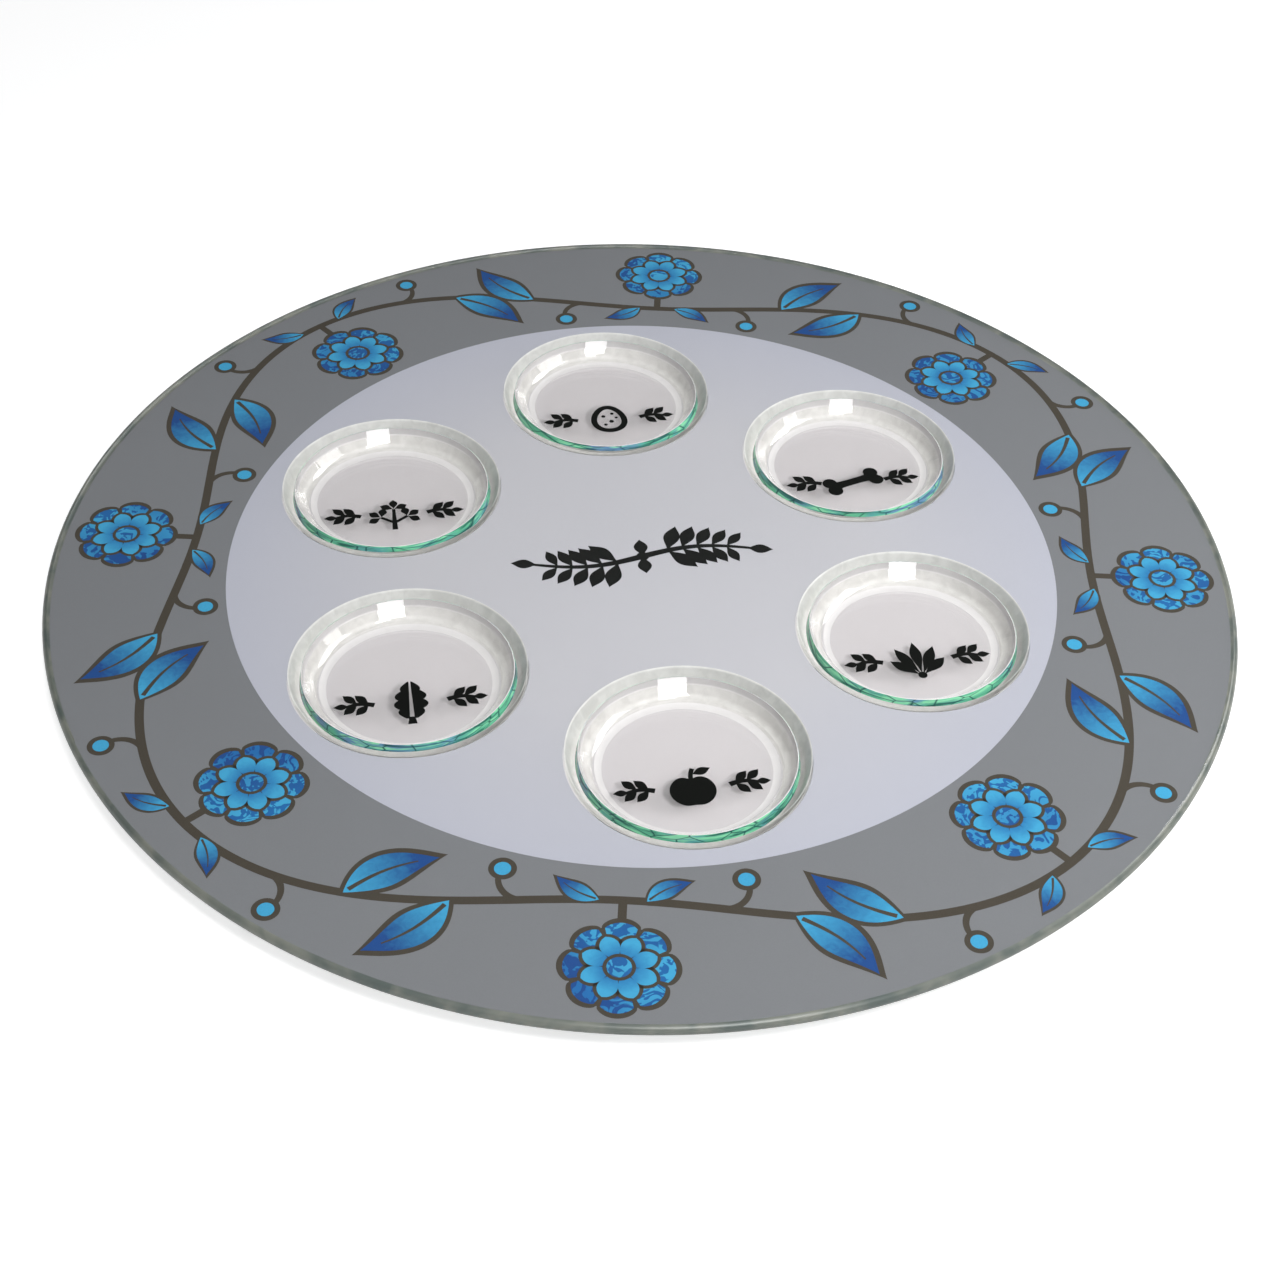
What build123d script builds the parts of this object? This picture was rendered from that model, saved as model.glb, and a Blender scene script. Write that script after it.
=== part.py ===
from build123d import *
from math import cos, radians, sin, tan
import os

# Seder plate: a round clear glass plate, printed on its underside, with a ring of slumped wells.
# A small slumped glass dish lies loose in each well, one dish for each food.
# Millimetres, +Z up. The origin is the centre of the surface that the plate stands on.

# Plate
plate_diameter = 400.0
plate_glass = 4.0

# Dishes, each slumped from a flat glass disc and ground almost upright at its cut edge
dish_glass = 3.2
dish_rim_radius = 34.0
dish_depth = 5.9
dish_wall_angle = 50.0
dish_floor_fillet = 5.0
dish_edge_drop = 2.5
dish_rim_seam = 0.3

# Wells, pressed down out of the plate while it is soft
dish_names = ["egg", "shank_bone", "bitter_herb", "fruit_paste", "lettuce", "green_vegetable"]
first_well_angle = 90.0
well_pitch_radius = 95.7
well_wall_angle = 65.0
well_wall = 1.8
well_floor = 3.2
well_shoulder_radius = 0.8
well_floor_fillet = 3.0
well_root_fillet = 0.5
rim_below_plate_top = 0.7
dish_side_clearance = 0.9

# Print on the underside
print_thickness = 0.25
pale_margin_past_wells = 6.4
print_seam = 0.1
print_edge_margin = 0.3
print_opening_clearance = 0.3

# Heights
dish_height = dish_glass + dish_depth
dish_base_z = well_floor
plate_top_z = well_floor + dish_height + rim_below_plate_top
plate_under_z = plate_top_z - plate_glass

# Dish rim: a square cut would end one glass out from the wall. The ground edge ends lower down the wall,
# and that lower outer corner is what has to clear the well
dish_slope = radians(dish_wall_angle)
rim_across = dish_glass * sin(dish_slope) - dish_edge_drop * cos(dish_slope)
rim_down = dish_glass * cos(dish_slope) + dish_edge_drop * sin(dish_slope)
dish_outer_radius = dish_rim_radius + rim_across
dish_outer_corner_z = dish_base_z + dish_height - rim_down

# Well walls: straight cones, the outer one set off from the inner one by the wall
well_run = 1.0 / tan(radians(well_wall_angle))
well_wall_across = well_wall / sin(radians(well_wall_angle))


def well_inner_radius(z):
    """Radius of a well's inner wall at height z, before its fillets."""
    return dish_outer_radius + dish_side_clearance + (z - dish_outer_corner_z) * well_run


def well_outer_radius(z):
    """Radius of a well's outer wall at height z, before its fillets."""
    return well_inner_radius(z) + well_wall_across


# The print stops short of the fillet where a well leaves the flat underside,
# and the border starts a margin outside the ring of openings
root_fillet_reach = well_root_fillet * tan(radians(well_wall_angle) / 2)
print_opening_radius = well_outer_radius(plate_under_z) + root_fillet_reach + print_opening_clearance
border_inner_radius = well_pitch_radius + print_opening_radius + pale_margin_past_wells

well_places = PolarLocations(well_pitch_radius, len(dish_names), start_angle=first_well_angle,
                             angular_range=-360, rotate=False).locations


def make_dish():
    """One dish of even glass, standing on its base at the origin."""
    up_wall = Vector(cos(dish_slope), sin(dish_slope))
    out_of_wall = Vector(sin(dish_slope), -cos(dish_slope))
    mid_bend = Vector(sin(dish_slope / 2), -cos(dish_slope / 2))
    outer_fillet = dish_floor_fillet + dish_glass
    wall_foot_radius = dish_rim_radius - dish_depth / tan(dish_slope)
    bend_radius = wall_foot_radius - dish_floor_fillet * tan(dish_slope / 2)
    bend_centre = Vector(bend_radius, dish_glass + dish_floor_fillet)

    rim_inner = Vector(dish_rim_radius, dish_height)
    rim_outer = rim_inner + Vector(rim_across, -rim_down)
    down_edge = (rim_outer - rim_inner).normalized()
    inner_bend_top = bend_centre + out_of_wall * dish_floor_fillet
    outer_bend_top = bend_centre + out_of_wall * outer_fillet
    floor_edge = Vector(bend_radius, dish_glass)
    base_edge = Vector(bend_radius, 0)

    with BuildPart() as dish:
        with BuildSketch(Plane.XZ):
            with BuildLine():
                Line((0, dish_glass), floor_edge)
                ThreePointArc(floor_edge, bend_centre + mid_bend * dish_floor_fillet, inner_bend_top)
                Polyline(inner_bend_top,
                         rim_inner - up_wall * dish_rim_seam,
                         rim_inner + down_edge * dish_rim_seam,
                         rim_outer - down_edge * dish_rim_seam,
                         rim_outer - up_wall * dish_rim_seam,
                         outer_bend_top)
                ThreePointArc(outer_bend_top, bend_centre + mid_bend * outer_fillet, base_edge)
                Polyline(base_edge, (0, 0), (0, dish_glass))
            make_face()
        revolve(axis=Axis.Z)
    return dish.part


def rings_at(part, z, radius):
    """The circular edges of a part at height z that have the given radius."""
    tolerance = 0.01
    rings = part.edges().filter_by(GeomType.CIRCLE)
    return rings.filter_by(lambda e: abs(e.arc_center.Z - z) < tolerance and abs(e.radius - radius) < tolerance)


def make_plate():
    """The plate: a disc with a full-round edge and a ring of hollow wells below it."""
    flat_radius = plate_diameter / 2 - plate_glass / 2
    mid_z = plate_under_z + plate_glass / 2
    cut_height = 1.0
    cut_top_z = plate_top_z + cut_height
    rim_start = (flat_radius, plate_under_z)
    rim_end = (flat_radius, plate_top_z)

    with BuildPart() as plate:
        with BuildSketch(Plane.XZ):
            with BuildLine():
                Line((0, plate_under_z), rim_start)
                ThreePointArc(rim_start, (plate_diameter / 2, mid_z), rim_end)
                Polyline(rim_end, (0, plate_top_z), (0, plate_under_z))
            make_face()
        revolve(axis=Axis.Z)

        on_its_base = (Align.CENTER, Align.CENTER, Align.MIN)
        with Locations(*well_places):
            Cone(well_outer_radius(0), well_outer_radius(mid_z), mid_z, align=on_its_base)
        with Locations(*[Pos(0, 0, well_floor) * place for place in well_places]):
            Cone(well_inner_radius(well_floor), well_inner_radius(cut_top_z), cut_top_z - well_floor,
                 align=on_its_base, mode=Mode.SUBTRACT)

        fillet(rings_at(plate.part, 0, well_outer_radius(0)), well_floor_fillet + well_wall)
        fillet(rings_at(plate.part, well_floor, well_inner_radius(well_floor)), well_floor_fillet)
        fillet(rings_at(plate.part, plate_top_z, well_inner_radius(plate_top_z)), well_shoulder_radius)
        fillet(rings_at(plate.part, plate_under_z, well_outer_radius(plate_under_z)), well_root_fillet)
    return plate.part


def make_border_print():
    """The grey border: a thin ring bonded to the flat underside, out to the rounded edge."""
    outer_radius = plate_diameter / 2 - plate_glass / 2 - print_edge_margin
    with BuildPart() as border:
        with BuildSketch(Plane.XY.offset(plate_under_z)):
            Circle(outer_radius)
            Circle(border_inner_radius + print_seam / 2, mode=Mode.SUBTRACT)
        extrude(amount=-print_thickness)
    return border.part


def make_centre_print():
    """The pale centre: a thin disc bonded to the flat underside, open round every well."""
    with BuildPart() as centre:
        with BuildSketch(Plane.XY.offset(plate_under_z)):
            Circle(border_inner_radius - print_seam / 2)
            with Locations(*well_places):
                Circle(print_opening_radius, mode=Mode.SUBTRACT)
        extrude(amount=-print_thickness)
    return centre.part


def main():
    """Write every piece, in its place, to its own file."""
    pieces = {
        "glass_plate": make_plate(),
        "border_print": make_border_print(),
        "centre_print": make_centre_print(),
    }
    dish = make_dish()
    for name, place in zip(dish_names, well_places):
        pieces[name + "_dish"] = Pos(0, 0, dish_base_z) * place * dish

    os.makedirs("parts", exist_ok=True)
    for name, piece in pieces.items():
        export_step(piece, os.path.join("parts", name + ".step"))


main()
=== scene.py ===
"""Looks of a round glass seder plate with a printed underside and a loose glass dish in every well."""
import logging
import math
from contextlib import contextmanager
from dataclasses import dataclass, field
from enum import Enum
from typing import Callable, Iterator, Sequence

import bmesh
import bpy
from mathutils import Matrix, Quaternion, Vector


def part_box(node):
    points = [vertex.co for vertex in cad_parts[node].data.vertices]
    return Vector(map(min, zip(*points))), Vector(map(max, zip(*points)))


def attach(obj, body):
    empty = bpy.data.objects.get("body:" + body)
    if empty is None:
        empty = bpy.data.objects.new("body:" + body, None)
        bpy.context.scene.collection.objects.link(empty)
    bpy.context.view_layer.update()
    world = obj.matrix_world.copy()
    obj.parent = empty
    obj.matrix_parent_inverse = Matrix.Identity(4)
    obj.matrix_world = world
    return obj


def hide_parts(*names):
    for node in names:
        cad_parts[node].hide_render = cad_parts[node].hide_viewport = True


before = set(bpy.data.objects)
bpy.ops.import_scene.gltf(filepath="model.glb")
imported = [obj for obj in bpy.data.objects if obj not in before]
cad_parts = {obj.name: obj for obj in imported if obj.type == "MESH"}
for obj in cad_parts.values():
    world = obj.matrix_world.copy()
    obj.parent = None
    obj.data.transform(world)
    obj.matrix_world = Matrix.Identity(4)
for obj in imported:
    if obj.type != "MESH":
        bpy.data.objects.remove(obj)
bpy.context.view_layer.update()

Piece = bpy.types.Object
Material = bpy.types.Material
Socket = bpy.types.NodeSocket
Point = tuple[float, float]
Colour = tuple[float, float, float, float]
Outline = Callable[[float], Point]
Width = Callable[[float], float]

LOG = logging.getLogger("seder_plate")
PLATE_BODY = "plate"
FULL_TURN = 2 * math.pi
QUARTER_TURN = math.pi / 2
MM = 0.001
HAIR = 0.02 * MM
MERGE_DISTANCE = 1e-6
SAME_POINT = 1e-7
NUDGE = 1e-4
OVERLAP_STEP = 0.001 * MM
OVERLAP_LEVELS = 7
PRINT_BOND = 0.03 * MM
PRINT_LAYER = 0.02 * MM
GLASS_IOR = 1.52
GLASS_RAYS = ("Is Shadow Ray", "Is Diffuse Ray")
INK_RAYS = ("Is Shadow Ray",)
INK_LEAK = (0.55, 0.56, 0.55, 1.0)
INK_GLOSS = 0.12
BLACK = (0.0, 0.0, 0.0, 1.0)
WHITE = (1.0, 1.0, 1.0, 1.0)


def linear(screen: Sequence[int]) -> Colour:
    """A colour as it shows on a screen, 0 to 255, in linear light with full alpha."""
    parts = [c / 255 for c in screen]
    return (*[p / 12.92 if p <= 0.04045 else ((p + 0.055) / 1.055) ** 2.4 for p in parts], 1.0)


def shaded(colour: Colour, factor: float) -> Colour:
    """A linear colour made lighter or darker."""
    return (*[min(1.0, c * factor) for c in colour[:3]], 1.0)


class Ink(Enum):
    """Print colours as they show on a screen, red, green and blue from 0 to 255."""

    BORDER = (126, 129, 132)
    PALE = (198, 199, 204)
    LAVENDER = (188, 191, 202)
    LINE = (72, 67, 58)
    DEEP_BLUE = (32, 76, 140)
    MID_BLUE = (36, 108, 172)
    SKY_BLUE = (68, 166, 210)
    BLACK = (14, 16, 14)

    @property
    def linear(self) -> Colour:
        """The colour in linear light, with full alpha."""
        return linear(self.value)


class Food(Enum):
    """The foods of the plate, in the order in which their wells go round it, clockwise seen from above."""

    EGG = "egg"
    SHANK_BONE = "shank_bone"
    BITTER_HERB = "bitter_herb"
    FRUIT_PASTE = "fruit_paste"
    LETTUCE = "lettuce"
    GREEN_VEGETABLE = "green_vegetable"

    @property
    def dish(self) -> str:
        """The name of the dish's CAD node, which is also its body's name."""
        return f"{self.value}_dish"


def deselect_all() -> None:
    """Leave edit mode and deselect every object."""
    if bpy.context.object and bpy.context.object.mode != "OBJECT":
        bpy.ops.object.mode_set(mode="OBJECT")
    bpy.ops.object.select_all(action="DESELECT")


def make_active(piece: Piece) -> None:
    """Select one object alone and make it the active one.

    Args:
        piece: The object.
    """
    deselect_all()
    piece.select_set(True)
    bpy.context.view_layer.objects.active = piece


@contextmanager
def editing(piece: Piece) -> Iterator[Piece]:
    """Hold one object in edit mode.

    Args:
        piece: The object to edit.

    Returns:
        The same object, while it is in edit mode.
    """
    make_active(piece)
    bpy.ops.object.mode_set(mode="EDIT")
    bpy.ops.mesh.select_mode(type="VERT")
    try:
        yield piece
    finally:
        bpy.ops.object.mode_set(mode="OBJECT")


def select_edges(piece: Piece, wanted: Callable[[bmesh.types.BMEdge], bool]) -> None:
    """In edit mode, select only the edges that a test accepts.

    Args:
        piece: The object in edit mode.
        wanted: The test, which gets one edge.
    """
    bpy.ops.mesh.select_mode(type="EDGE")
    bpy.ops.mesh.select_all(action="DESELECT")
    mesh = bmesh.from_edit_mesh(piece.data)
    for edge in mesh.edges:
        edge.select_set(wanted(edge))
    bmesh.update_edit_mesh(piece.data)


def apply_modifier(piece: Piece, kind: str, **settings: object) -> None:
    """Add a modifier to an object and apply it.

    Args:
        piece: The object.
        kind: Blender's name for the modifier's type.
        settings: The modifier's properties by name.
    """
    make_active(piece)
    modifier = piece.modifiers.new(kind.title(), kind)
    for name, value in settings.items():
        setattr(modifier, name, value)
    bpy.ops.object.modifier_apply(modifier=modifier.name)


def close_and_face_out(piece: Piece) -> None:
    """Merge doubled points of an object's mesh and turn its faces outwards.

    Args:
        piece: The object.
    """
    with editing(piece):
        bpy.ops.mesh.select_all(action="SELECT")
        bpy.ops.mesh.remove_doubles(threshold=MERGE_DISTANCE)
        bpy.ops.mesh.normals_make_consistent(inside=False)


def smooth(piece: Piece) -> None:
    """Shade an object smooth all over."""
    make_active(piece)
    bpy.ops.object.shade_smooth()


def join_pieces(pieces: Sequence[Piece], name: str) -> Piece:
    """Join several objects into one.

    Args:
        pieces: The objects; the first one takes in the others.
        name: The joined object's name.

    Returns:
        The joined object.
    """
    make_active(pieces[0])
    for piece in pieces[1:]:
        piece.select_set(True)
    if len(pieces) > 1:
        bpy.ops.object.join()
    pieces[0].name = name
    pieces[0].data.name = name
    return pieces[0]


def placed(piece: Piece, place: Matrix) -> Piece:
    """Move an object's mesh to its place and return the object."""
    piece.data.transform(place)
    return piece


def copies_at(piece: Piece, places: Sequence[Matrix]) -> list[Piece]:
    """Copy an object to several places, each copy with its own mesh, and remove the first one.

    Args:
        piece: The object, modelled at the origin.
        places: Where each copy goes.

    Returns:
        The copies, with their places in their meshes.
    """
    made = []
    for place in places:
        make_active(piece)
        bpy.ops.object.duplicate(linked=False)
        made.append(placed(bpy.context.object, place))
    bpy.data.objects.remove(piece)
    return made


def turned(angle: float, x: float = 0.0, y: float = 0.0) -> Matrix:
    """A place: a turn about Z, then a move."""
    return Matrix.Translation((x, y, 0)) @ Matrix.Rotation(angle, 4, "Z")


def raised(height: float) -> Matrix:
    """A place straight above the origin."""
    return Matrix.Translation((0, 0, height))


def polar(radius: float, angle: float) -> Point:
    """A point by its distance from the plate's axis and its angle from +X."""
    return radius * math.cos(angle), radius * math.sin(angle)


def straight(start: Sequence[float], end: Sequence[float]) -> Outline:
    """The straight line between two points.

    Args:
        start: Where it starts.
        end: Where it ends.

    Returns:
        The line, from 0 at its start to 1 at its end.
    """

    def line(t: float) -> Point:
        """The point at a share of the way along."""
        return start[0] + (end[0] - start[0]) * t, start[1] + (end[1] - start[1]) * t

    return line


def tapered(start: float, end: float) -> Width:
    """A half width that changes evenly along a ribbon.

    Args:
        start: Half the width at its start.
        end: Half the width at its end.

    Returns:
        The half width, from 0 at the ribbon's start to 1 at its end.
    """

    def width(t: float) -> float:
        """Half the width at a share of the way along."""
        return start + (end - start) * t

    return width


def swelling(half: float, skew: float, power: float) -> Width:
    """A half width that swells from a point and falls to a point again.

    Args:
        half: Half the width at its widest.
        skew: Over 1 where the widest place lies past the middle.
        power: Under 1 for blunt ends, over 1 for sharp ones.

    Returns:
        The half width, from 0 at the ribbon's start to 1 at its end.
    """

    def width(t: float) -> float:
        """Half the width at a share of the way along."""
        return max(HAIR, half * math.sin(math.pi * min(1, max(0, t)) ** skew) ** power)

    return width


@dataclass
class Profile:
    """A half section that is spun round the Z axis, as points of radius and height."""

    points: list[Point] = field(default_factory=list)

    def through(self, *points: Sequence[float]) -> "Profile":
        """Go straight from point to point."""
        self.points += [(radius, height) for radius, height in points]
        return self

    def arc(self, centre: Sequence[float], radius: float, start: float, end: float, steps: int) -> "Profile":
        """Go round an arc.

        Args:
            centre: The arc's centre, as radius and height.
            radius: The arc's radius.
            start: The angle at which it starts, in degrees from straight out.
            end: The angle at which it ends.
            steps: How many stretches it is divided into.

        Returns:
            This profile.
        """
        for i in range(steps + 1):
            across, up = polar(radius, math.radians(start + (end - start) * i / steps))
            self.through((centre[0] + across, centre[1] + up))
        return self

    def spin(self, name: str, steps: int) -> Piece:
        """Draw the profile point by point and spin it once round.

        Args:
            name: The new object's name.
            steps: How many stretches the full turn has.

        Returns:
            The spun object, with its faces outwards if it is closed.
        """
        deselect_all()
        here = self.points[0]
        bpy.ops.mesh.primitive_plane_add(size=HAIR, location=(0, 0, 0))
        piece = bpy.context.object
        piece.name = name
        with editing(piece):
            bpy.ops.mesh.select_all(action="SELECT")
            bpy.ops.mesh.merge(type="CENTER")
            bpy.ops.transform.translate(value=(here[0], 0, here[1]))
            for there in self.points[1:]:
                move = (there[0] - here[0], 0, there[1] - here[1])
                if Vector(move).length > SAME_POINT:
                    bpy.ops.mesh.extrude_region_move(TRANSFORM_OT_translate={"value": move})
                    here = there
            bpy.ops.mesh.select_all(action="SELECT")
            bpy.ops.mesh.spin(steps=steps, angle=FULL_TURN, center=(0, 0, 0), axis=(0, 0, 1))
        close_and_face_out(piece)
        smooth(piece)
        return piece


class Cutter:
    """Flat shapes of print, drawn on the XY plane and given a hair of thickness."""

    DISC_CORNERS = 40
    LEAF_CORNERS = 48
    LEAF_SHARPNESS = 1.25

    @staticmethod
    def shape(outline: Outline, corners: int) -> Piece:
        """A filled shape whose edge follows a closed outline.

        Args:
            outline: Gives the point at a share of the way round, from 0 to 1.
            corners: How many points the edge has.

        Returns:
            The flat object.
        """
        deselect_all()
        bpy.ops.mesh.primitive_circle_add(vertices=corners, radius=1.0, fill_type="NGON")
        piece = bpy.context.object
        for i, point in enumerate(piece.data.vertices):
            point.co = (*outline(i / corners), 0.0)
        return piece

    @staticmethod
    def strip(line: Outline, half_width: Width, steps: int) -> Piece:
        """A ribbon along a line.

        Args:
            line: Gives the point at a share of the way along, from 0 to 1.
            half_width: Gives half the ribbon's width there.
            steps: How many stretches it is divided into.

        Returns:
            The flat object.
        """
        deselect_all()
        bpy.ops.mesh.primitive_grid_add(x_subdivisions=steps, y_subdivisions=1, size=2.0)
        piece = bpy.context.object
        shade = piece.data.attributes.new("shade", "FLOAT", "POINT")
        for point in piece.data.vertices:
            share = (point.co.x + 1) / 2
            ahead = Vector(line(share + NUDGE)) - Vector(line(share - NUDGE))
            across = Vector((-ahead.y, ahead.x)).normalized() * math.copysign(half_width(share), point.co.y)
            shade.data[point.index].value = share
            point.co = (*(Vector(line(share)) + across), 0.0)
        return piece

    @staticmethod
    def disc(radius: float, x: float = 0.0, y: float = 0.0) -> Piece:
        """A round dot.

        Args:
            radius: Its radius.
            x: Where its middle is along X.
            y: Where its middle is along Y.

        Returns:
            The flat object.
        """

        def edge(t: float) -> Point:
            """The point at a share of the way round."""
            across, up = polar(radius, FULL_TURN * t)
            return x + across, y + up

        return Cutter.shape(edge, Cutter.DISC_CORNERS)

    @staticmethod
    def leaf(length: float, width: float, swell: float = 0.45) -> Piece:
        """A pointed leaf that starts at the origin and lies along +X.

        Args:
            length: From stalk to tip.
            width: At its widest.
            swell: The share of the length at which it is widest.

        Returns:
            The flat object.
        """
        power = math.log(0.5) / math.log(swell)

        def edge(t: float) -> Point:
            """The point at a share of the way round, out on one side and back on the other.

            Args:
                t: The share, from 0 to 1.

            Returns:
                The point.
            """
            side = 1 if t < 0.5 else -1
            along = 2 * t if t < 0.5 else 2 - 2 * t
            bulge = math.sin(math.pi * along ** power) ** Cutter.LEAF_SHARPNESS
            return length * along, side * width / 2 * bulge

        return Cutter.shape(edge, Cutter.LEAF_CORNERS)

    @staticmethod
    def print_on(pieces: Sequence[Piece], name: str, top: float, depth: float) -> Piece:
        """Join flat shapes into one print with a little thickness; shapes that overlap lie a hair apart.

        Args:
            pieces: The flat shapes.
            name: The print's name.
            top: The height of its upper face.
            depth: Its thickness, downwards.

        Returns:
            The finished print.
        """
        for count, shape in enumerate(pieces[1:]):
            placed(shape, raised((1 + count % OVERLAP_LEVELS) * OVERLAP_STEP))
        piece = placed(join_pieces(pieces, name), raised(top))
        with editing(piece):
            bpy.ops.mesh.select_all(action="SELECT")
            bpy.ops.mesh.normals_make_consistent(inside=False)
        for face in piece.data.polygons:
            if face.normal.z < 0:
                face.flip()
        apply_modifier(piece, "SOLIDIFY", thickness=depth, offset=-1.0)
        return piece


class Nodes:
    """A short way to write the nodes of a material or of the world."""

    def __init__(self, owner: bpy.types.ID, output: str) -> None:
        """Start with an output and nothing else.

        Args:
            owner: The material or the world.
            output: Blender's name for the output's type, after ShaderNode.
        """
        self.owner = owner
        owner.use_nodes = True
        self.tree = owner.node_tree
        self.tree.nodes.clear()
        self.out = self.add(output)

    @classmethod
    def of_material(cls, name: str) -> "Nodes":
        """Start a new material."""
        return cls(bpy.data.materials.new(name), "OutputMaterial")

    def feed(self, socket: Socket, value: object) -> None:
        """Set an input to a value, or join a node's output to it.

        Args:
            socket: The input.
            value: A number, a vector, a colour, or the output of a node.
        """
        if isinstance(value, Socket):
            self.tree.links.new(value, socket)
        else:
            socket.default_value = value

    def add(self, kind: str, **values: object) -> bpy.types.Node:
        """Add a node.

        Args:
            kind: Blender's name for the node's type, after ShaderNode.
            values: Its properties, or its inputs with spaces written as underscores.

        Returns:
            The node.
        """
        node = self.tree.nodes.new(f"ShaderNode{kind}")
        for name, value in values.items():
            if hasattr(node, name):
                setattr(node, name, value)
            else:
                self.feed(node.inputs[name.replace("_", " ")], value)
        return node

    def place(self, stretch: Sequence[float] = (1.0, 1.0, 1.0)) -> Socket:
        """The object's own coordinates, each stretched by a factor."""
        here = self.add("TexCoord").outputs["Object"]
        return self.add("Mapping", Scale=stretch, Vector=here).outputs["Vector"]

    def distance(self, reach: float) -> Socket:
        """The distance from the object's Z axis, in shares of a reach.

        Args:
            reach: The length that counts as 1.

        Returns:
            The distance.
        """
        length = self.add("VectorMath", operation="LENGTH")
        self.feed(length.inputs[0], self.place((1 / reach, 1 / reach, 0.0)))
        return length.outputs["Value"]

    def noise(self, scale: float, detail: float = 2.0, distortion: float = 0.0,
              stretch: Sequence[float] = (1.0, 1.0, 1.0)) -> Socket:
        """A noise on the object's own coordinates.

        Args:
            scale: Bumps to the metre.
            detail: How much finer noise is laid over it.
            distortion: How much it is swirled.
            stretch: How much denser it is along X, Y and Z.

        Returns:
            The noise's value, about 0.5 on average.
        """
        place = self.place(stretch)
        noise = self.add("TexNoise", Scale=scale, Detail=detail, Distortion=distortion, Vector=place)
        return noise.outputs["Fac"]

    def calculate(self, operation: str, *values: object) -> Socket:
        """Calculate with numbers.

        Args:
            operation: Blender's name for the calculation.
            values: Numbers, or the outputs of nodes.

        Returns:
            The result.
        """
        node = self.add("Math", operation=operation)
        for socket, value in zip(node.inputs, values):
            self.feed(socket, value)
        return node.outputs["Value"]

    def spread(self, value: Socket, start: float, end: float, low: float = 0.0, high: float = 1.0) -> Socket:
        """A number that changes smoothly along a value.

        Args:
            value: What the number follows.
            start: The value at which the change starts.
            end: The value at which it ends.
            low: The number at its start.
            high: The number at its end.

        Returns:
            The number.
        """
        node = self.add("MapRange", interpolation_type="SMOOTHSTEP", Value=value,
                        From_Min=start, From_Max=end, To_Min=low, To_Max=high)
        return node.outputs["Result"]

    def ramp(self, value: Socket, *stops: tuple[float, Colour]) -> Socket:
        """Colours along a value.

        Args:
            value: What the colours follow.
            stops: Each colour with the value at which it stands.

        Returns:
            The colour.
        """
        ramp = self.add("ValToRGB", Fac=value)
        while len(ramp.color_ramp.elements) < len(stops):
            ramp.color_ramp.elements.new(0.5)
        for element, (at, colour) in zip(ramp.color_ramp.elements, stops):
            element.position = at
            element.color = colour
        return ramp.outputs["Color"]

    def mask(self, value: Socket, low: float, high: float) -> Socket:
        """A share that goes from 0 at one value to 1 at another."""
        return self.ramp(value, (low, BLACK), (high, WHITE))

    def mix(self, share: Socket, first: object, second: object) -> Socket:
        """Mix two colours.

        Args:
            share: How much of the second one is taken, from 0 to 1.
            first: A colour, or the output of a node.
            second: The same.

        Returns:
            The mixed colour.
        """
        mix = self.add("Mix", data_type="RGBA")
        for index, value in ((0, share), (6, first), (7, second)):
            self.feed(mix.inputs[index], value)
        return mix.outputs[2]

    def bump(self, height: Socket, strength: float, depth: float) -> Socket:
        """A bumped normal.

        Args:
            height: The bumps' height, from 0 to 1.
            strength: How strongly they show.
            depth: Their height in metres.

        Returns:
            The normal.
        """
        return self.add("Bump", Strength=strength, Distance=depth, Height=height).outputs["Normal"]

    def let_light_through(self, body: bpy.types.Node, colour: Colour, rays: Sequence[str]) -> Material:
        """Finish the material with a shader that lets some rays pass straight to what lies below.

        Args:
            body: The shader that is seen.
            colour: What is left of the light that passes.
            rays: The Light Path outputs for which the light passes.

        Returns:
            The material.
        """
        path = self.add("LightPath")
        clear = self.add("BsdfTransparent", Color=colour)
        shader = body.outputs["BSDF"]
        for ray in rays:
            mix = self.add("MixShader", Fac=path.outputs[ray])
            self.feed(mix.inputs[1], shader)
            self.feed(mix.inputs[2], clear.outputs["BSDF"])
            shader = mix.outputs["Shader"]
        self.feed(self.out.inputs["Surface"], shader)
        return self.owner

    def ink(self, colour: Socket, roughness: float) -> Material:
        """Finish the material as ink: a matt surface that leaks a little of the lamps' light.

        Args:
            colour: The ink's colour.
            roughness: How dull its gloss is.

        Returns:
            The material.
        """
        body = self.add("BsdfPrincipled", Base_Color=colour, Roughness=roughness,
                        Specular_IOR_Level=INK_GLOSS)
        return self.let_light_through(body, INK_LEAK, INK_RAYS)


@dataclass(frozen=True)
class ClearGlass:
    """Polished clear sheet glass with the faint waves that slumping leaves."""

    name: str
    tint: Colour = (0.998, 0.990, 0.992, 1.0)
    wave_scale: float = 70.0
    wave_depth: float = 0.12 * MM
    wave_strength: float = 0.35

    def material(self) -> Material:
        """Make the glass, which lets the lamps' light through to what lies below it.

        Returns:
            The material.
        """
        nodes = Nodes.of_material(self.name)
        waves = nodes.bump(nodes.noise(self.wave_scale, 1.0), self.wave_strength, self.wave_depth)
        glass = nodes.add("BsdfPrincipled", Base_Color=self.tint, Roughness=0.0, IOR=GLASS_IOR,
                          Transmission_Weight=1.0, Normal=waves)
        return nodes.let_light_through(glass, self.tint, GLASS_RAYS)


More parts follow.
